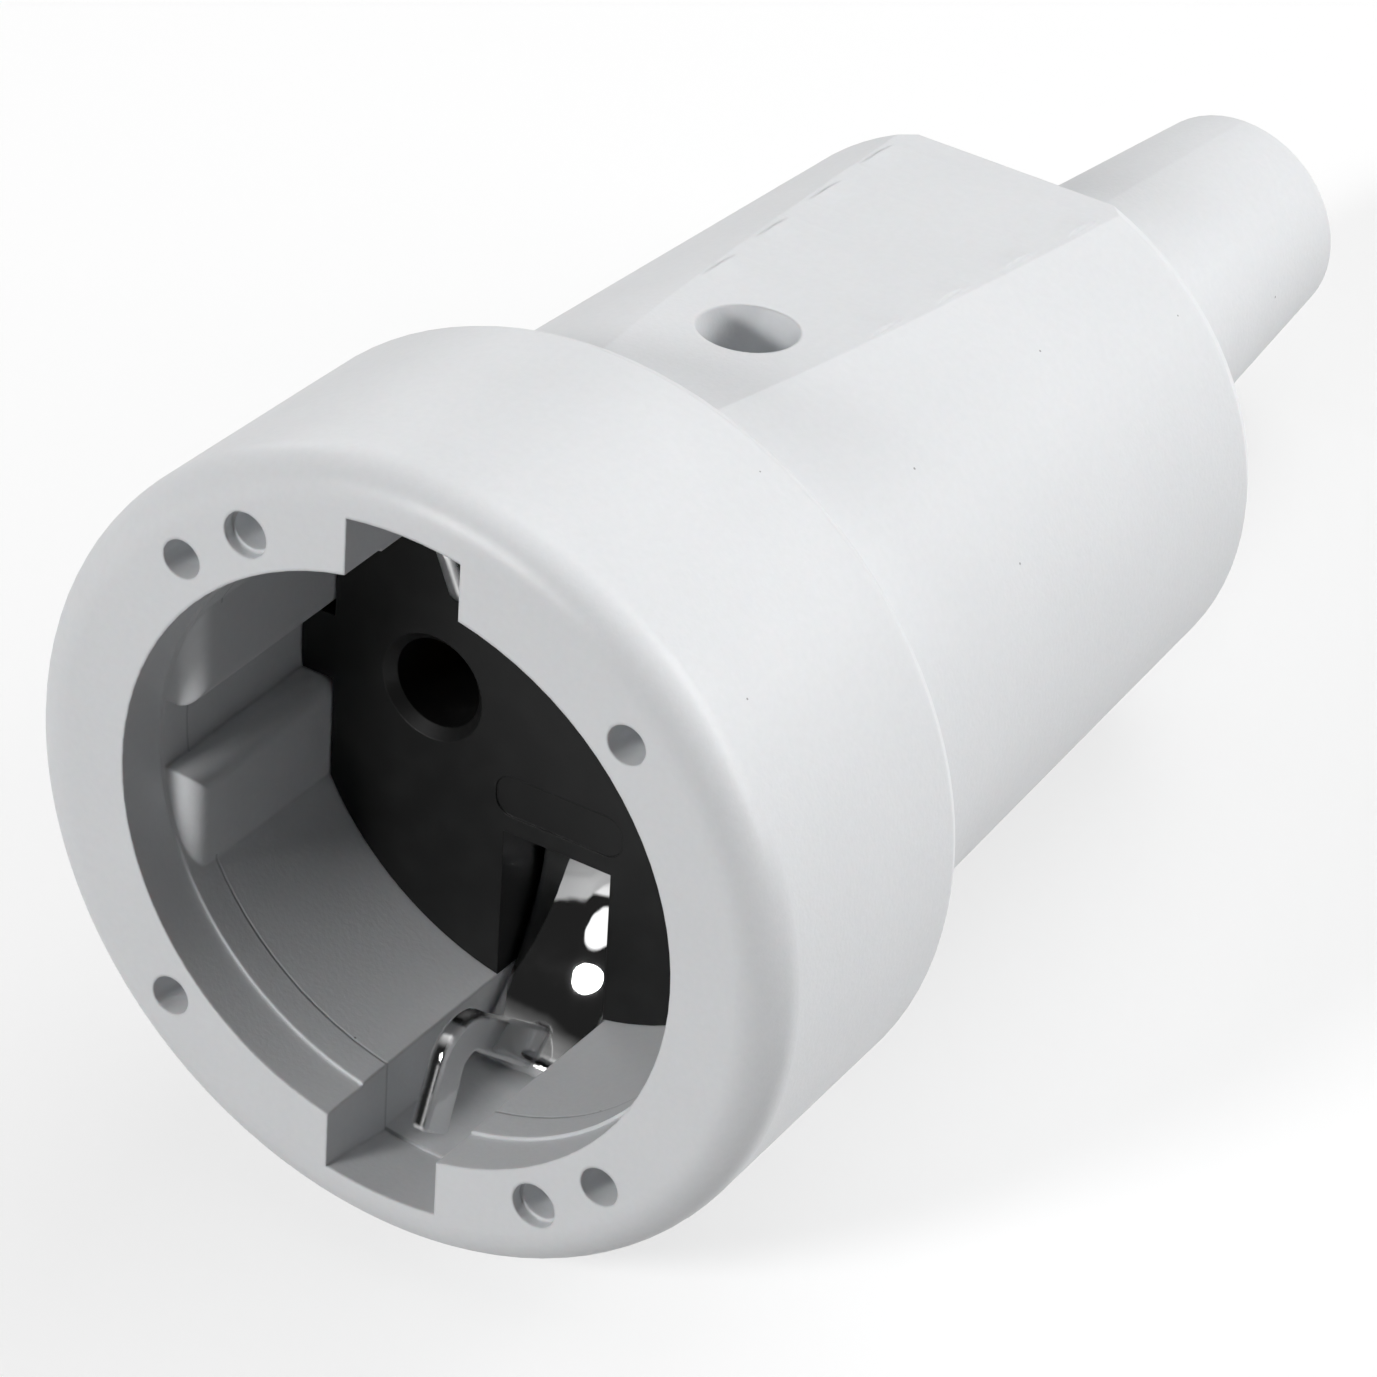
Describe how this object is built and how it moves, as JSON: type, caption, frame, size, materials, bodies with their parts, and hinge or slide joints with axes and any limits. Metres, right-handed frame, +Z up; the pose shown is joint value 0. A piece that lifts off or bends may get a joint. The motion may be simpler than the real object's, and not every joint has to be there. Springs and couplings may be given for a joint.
{
  "type": "inline socket connector",
  "caption": "Inline earthed socket for the end of a flexible cord: round recess with side earth contacts, tapered grip and cord boot.",
  "frame": {"origin": "on the surface that the part lies on, under the middle of its bounding box", "axes": "+Y from the socket face towards the cord end, +X to the right as seen from the socket face, +Z up; the part lies tilted 10.56 degrees about X, as it comes to rest, with the cord end low"},
  "size_m": [0.053, 0.102, 0.0548],
  "materials": {
    "grey_pvc": "satin moulded soft PVC",
    "black_plastic": "moulded, semi-matt",
    "brass": "plain, machined",
    "nickel_plate": "bright nickel plate",
    "plated_steel": "zinc plated",
    "spring_steel": "plain spring steel"
  },
  "bodies": {
    "root": {"housing": "grey_pvc", "carrier_front": "black_plastic", "carrier_rear": "black_plastic", "contact_left": "brass", "contact_right": "brass", "contact_springs": "spring_steel", "line_screws": "plated_steel", "earth_bow": "nickel_plate", "earth_terminal": "brass", "earth_rivet": "brass", "earth_screw": "plated_steel", "carrier_screws": "plated_steel", "fixing_screw": "plated_steel", "fixing_nut": "plated_steel", "clamp_bridge": "black_plastic", "clamp_screws": "plated_steel", "clamp_nuts": "plated_steel"}
  },
  "joints": []
}
